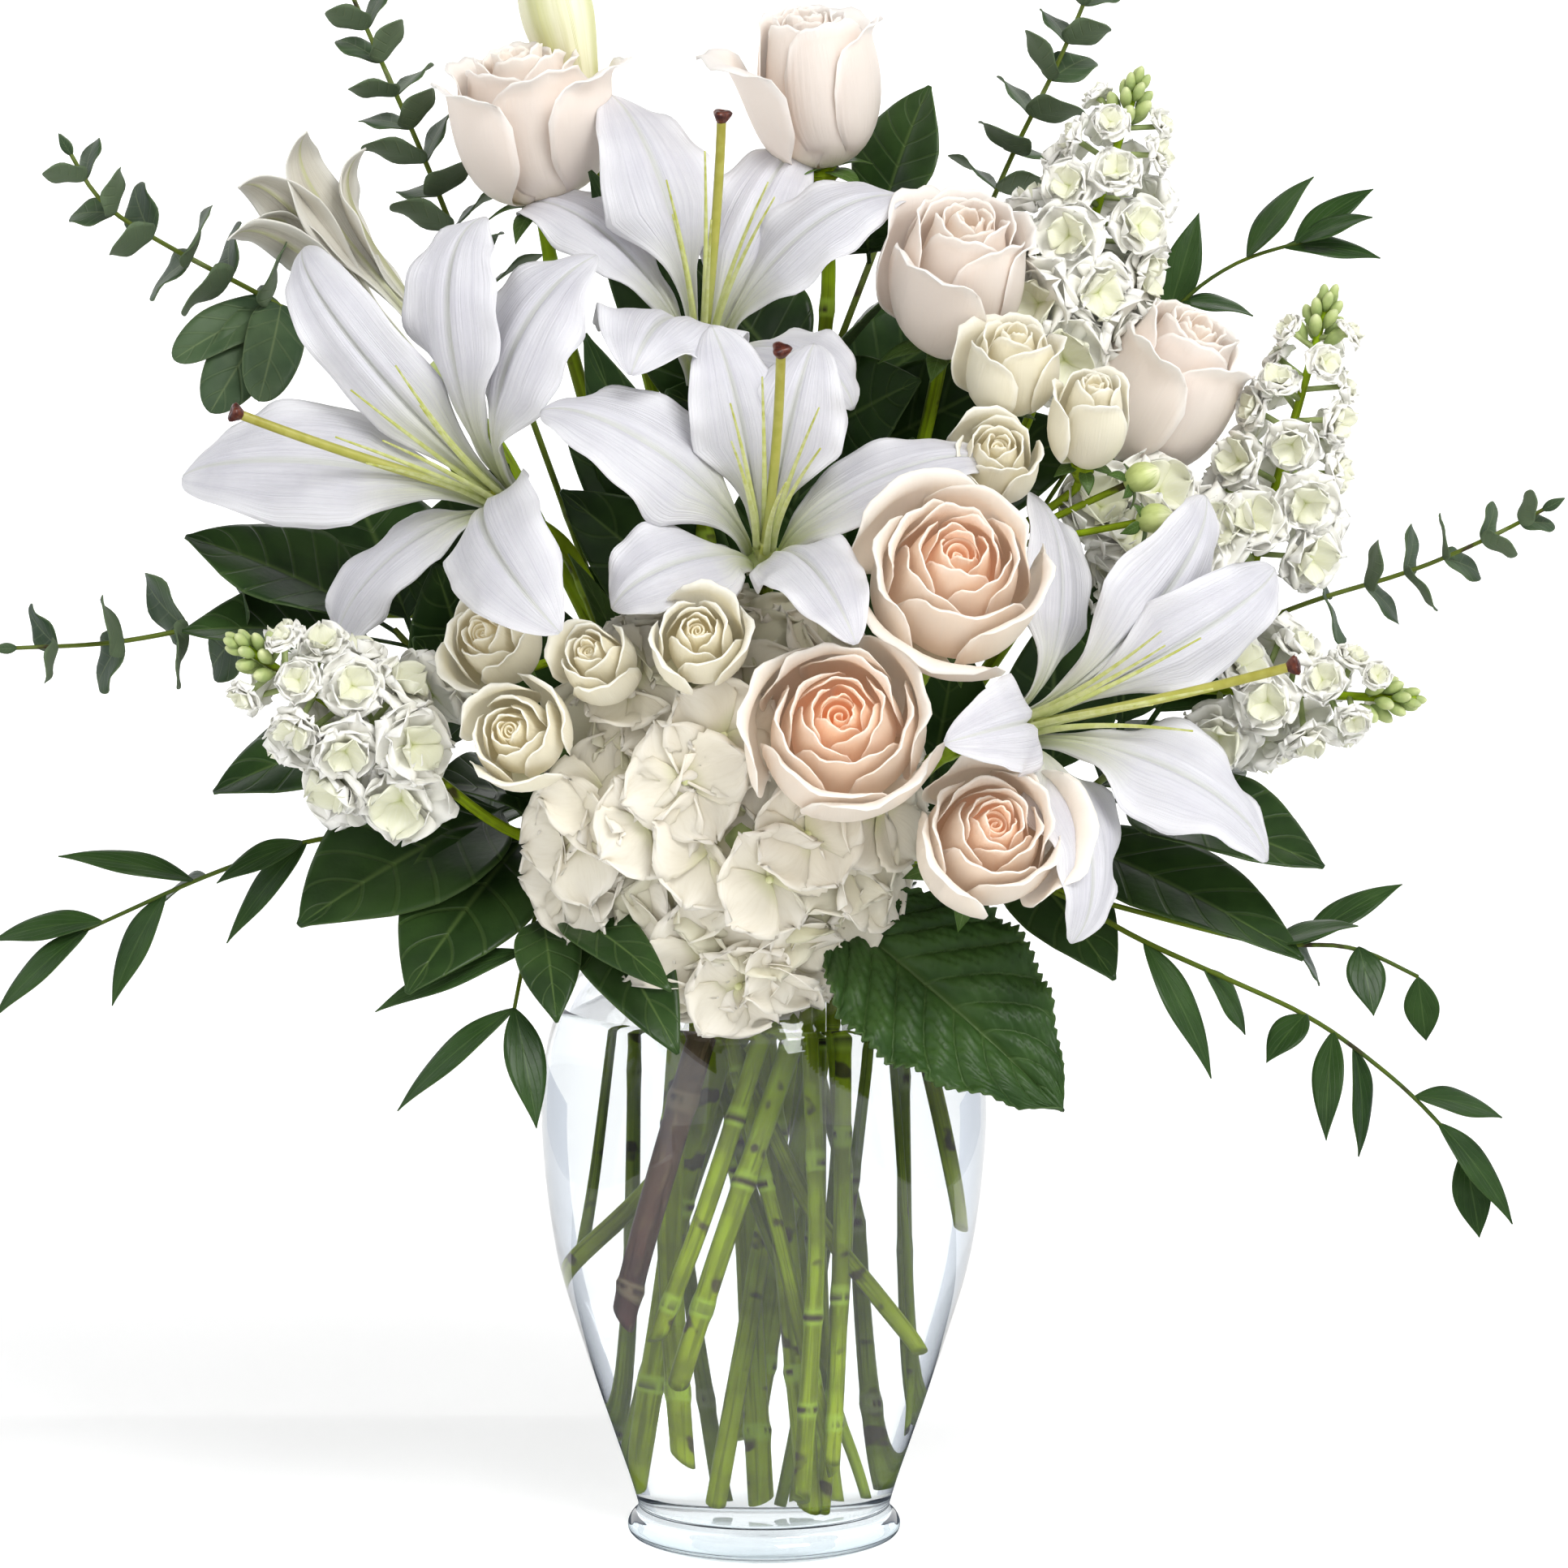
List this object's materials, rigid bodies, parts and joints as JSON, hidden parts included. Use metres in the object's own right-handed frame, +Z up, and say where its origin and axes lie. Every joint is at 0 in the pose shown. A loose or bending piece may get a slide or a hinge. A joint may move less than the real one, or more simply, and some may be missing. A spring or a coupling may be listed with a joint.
{
  "type": "flower bouquet in a glass vase",
  "caption": "Mixed bouquet of white lilies, cream roses, hydrangea, stock and eucalyptus standing in a clear glass vase of water.",
  "frame": {"origin": "centre of the vase foot, on the flat underside that stands on the table", "axes": "+Z up along the vase; -Y is the front, the side that the picture shows; +X to its right"},
  "size_m": [0.5346, 0.2661, 0.562],
  "materials": {
    "glass": "clear, polished",
    "water": "clear liquid",
    "lily": "soft satin petal",
    "stamen": "satin",
    "bud": "satin",
    "cream": "velvety petal",
    "peach": "velvety petal",
    "ivory": "matte petal",
    "stock": "matte petal",
    "stem": "satin",
    "purple": "matte",
    "gum": "matte",
    "ruscus": "satin",
    "salal": "waxy"
  },
  "bodies": {
    "root": {"vase": "glass", "water": "water", "lily_1_stem": "stem", "lily_1_petals": "lily", "lily_1_stamens": "stamen", "lily_2_stem": "stem", "lily_2_petals": "lily", "lily_2_stamens": "stamen", "lily_3_stem": "stem", "lily_3_petals": "lily", "lily_3_stamens": "stamen", "lily_4_stem": "stem", "lily_4_petals": "lily", "lily_4_stamens": "stamen", "lily_5_petals": "lily", "lily_6_bud": "bud", "rose_1_stem": "stem", "rose_1_bloom": "cream", "rose_2_stem": "stem", "rose_2_bloom": "cream", "rose_3_stem": "stem", "rose_3_bloom": "cream", "rose_4_stem": "stem", "rose_4_bloom": "cream", "rose_5_stem": "stem", "rose_5_bloom": "peach", "rose_6_stem": "stem", "rose_6_bloom": "peach", "rose_7_stem": "stem", "rose_7_bloom": "peach", "spray_rose_1_bloom": "ivory", "spray_rose_2_bloom": "ivory", "spray_rose_3_bloom": "ivory", "spray_rose_4_bloom": "ivory", "spray_rose_5_bloom": "ivory", "spray_rose_6_bloom": "ivory", "spray_rose_7_bloom": "ivory", "spray_rose_stem_left": "stem", "spray_rose_stem_right": "stem", "hydrangea_head": "ivory", "hydrangea_stem": "purple", "stock_1_florets": "stock", "stock_1_stem": "stem", "stock_2_florets": "stock", "stock_2_stem": "stem", "stock_3_florets": "stock", "stock_3_stem": "stem", "stock_4_florets": "stock", "stock_4_stem": "stem", "eucalyptus_1": "gum", "eucalyptus_2": "gum", "eucalyptus_3": "gum", "eucalyptus_4": "gum", "ruscus_1": "ruscus", "ruscus_2": "ruscus", "ruscus_3": "ruscus", "salal_1": "salal", "salal_2": "salal", "salal_3": "salal"}
  },
  "joints": []
}
